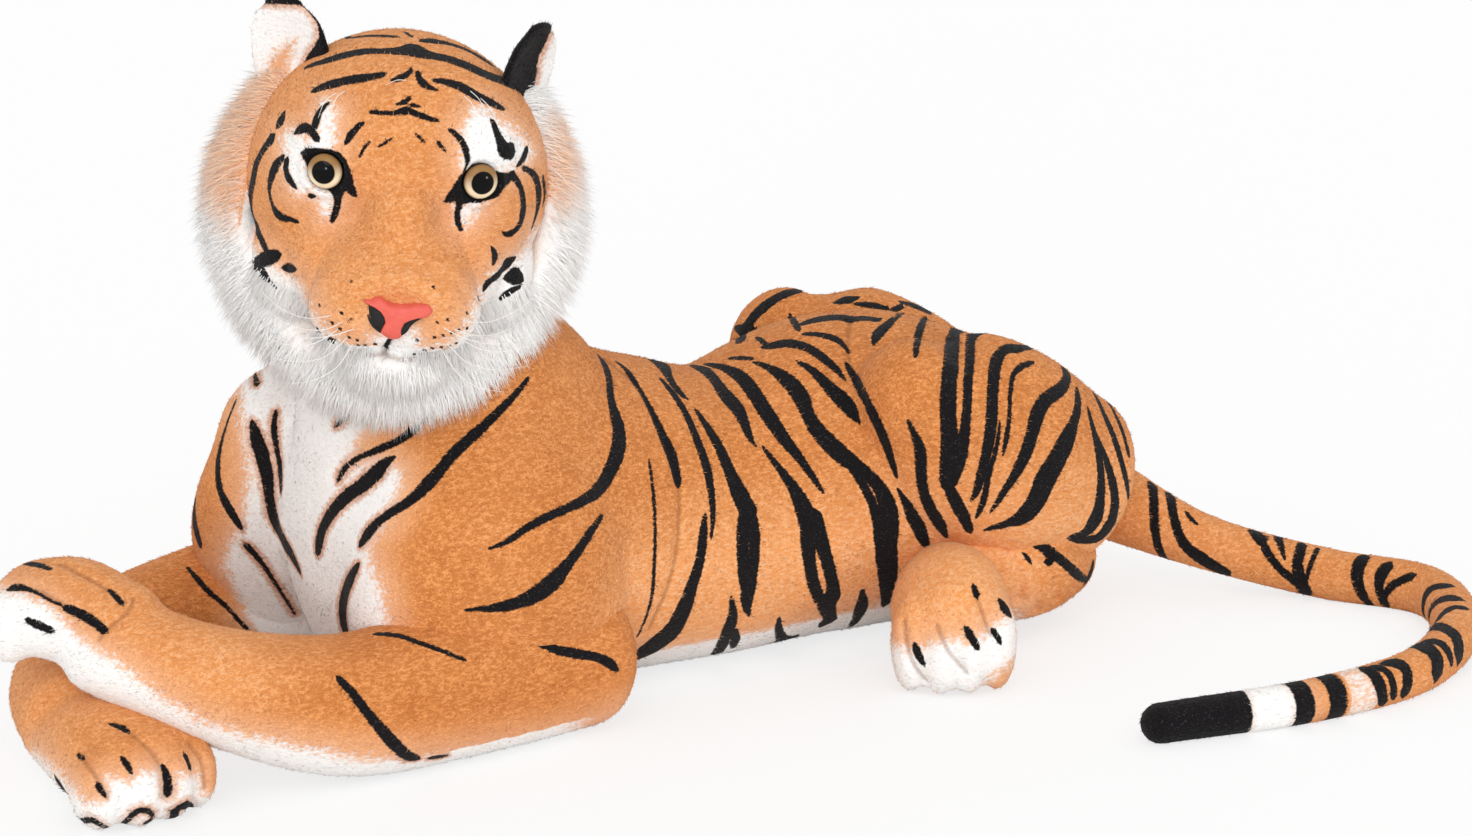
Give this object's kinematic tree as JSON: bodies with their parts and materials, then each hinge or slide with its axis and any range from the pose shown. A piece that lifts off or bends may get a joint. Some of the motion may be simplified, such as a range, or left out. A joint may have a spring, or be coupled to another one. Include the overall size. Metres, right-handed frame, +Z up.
{
  "type": "plush tiger",
  "caption": "Large stuffed plush tiger lying on its belly with crossed forepaws, a turned head with safety eyes and nose, and a curled tail.",
  "frame": {"origin": "centre of the belly's flat resting face, on the surface that the toy lies on", "axes": "+Z up, -X the way that the tiger's body faces, -Y the tiger's left side, +X to the rump and along the longest extent"},
  "size_m": [1.194, 0.6171, 0.5545],
  "materials": {
    "orange_plush": "short printed pile, orange with black stripes and white underside",
    "white_plush": "long white pile",
    "black_plush": "short black pile",
    "amber_plastic": "clear gloss dome over an amber iris and a black pupil",
    "rose_plastic": "satin moulded plastic",
    "clear_plastic": "natural moulded plastic"
  },
  "bodies": {
    "root": {"torso": "orange_plush", "neck": "orange_plush", "shoulder_left": "orange_plush", "shoulder_right": "orange_plush", "haunch_left": "orange_plush", "haunch_right": "orange_plush", "hind_shank_left": "orange_plush", "hind_shank_right": "orange_plush", "hind_paw_left": "orange_plush", "hind_paw_right": "orange_plush", "foreleg_right": "orange_plush", "forepaw_right": "orange_plush"},
    "head": {"head": "orange_plush", "muzzle": "orange_plush", "chin": "white_plush", "cheek_ruff_left": "white_plush", "cheek_ruff_right": "white_plush", "throat_ruff": "white_plush", "ear_left": "black_plush", "ear_right": "black_plush", "ear_lining_left": "white_plush", "ear_lining_right": "white_plush", "eye_left": "amber_plastic", "eye_right": "amber_plastic", "eye_washer_left": "clear_plastic", "eye_washer_right": "clear_plastic", "nose": "rose_plastic", "nose_washer": "clear_plastic"},
    "foreleg_left": {"foreleg_left": "orange_plush", "forepaw_left": "orange_plush"},
    "tail_root": {"tail_root": "orange_plush"},
    "tail_middle": {"tail_middle": "orange_plush"},
    "tail_tip": {"tail_tip": "orange_plush"}
  },
  "joints": [
    {"name": "head_turn", "type": "hinge", "parent": "root", "child": "head", "pos_m": [-0.2739, -0.02712, 0.28792], "axis": [0, 0, 1], "range_deg": [-12, 12], "stiffness_Nm_per_rad": 6},
    {"name": "foreleg_left_lift", "type": "hinge", "parent": "root", "child": "foreleg_left", "pos_m": [-0.2244, -0.113, 0.05984], "axis": [0, 1, 0], "range_deg": [0, 10]},
    {"name": "tail_swing", "type": "hinge", "parent": "root", "child": "tail_root", "pos_m": [0.34775, -0.01102, 0.0792], "axis": [0, 0, 1], "range_deg": [-5, 20]},
    {"name": "tail_bend", "type": "hinge", "parent": "tail_root", "child": "tail_middle", "pos_m": [0.49175, -0.14542, 0.02068], "axis": [0, 0, 1], "range_deg": [-10, 20]},
    {"name": "tail_tip_bend", "type": "hinge", "parent": "tail_middle", "child": "tail_tip", "pos_m": [0.41175, -0.36622, 0.0176], "axis": [0, 0, 1], "range_deg": [-12, 20]}
  ]
}
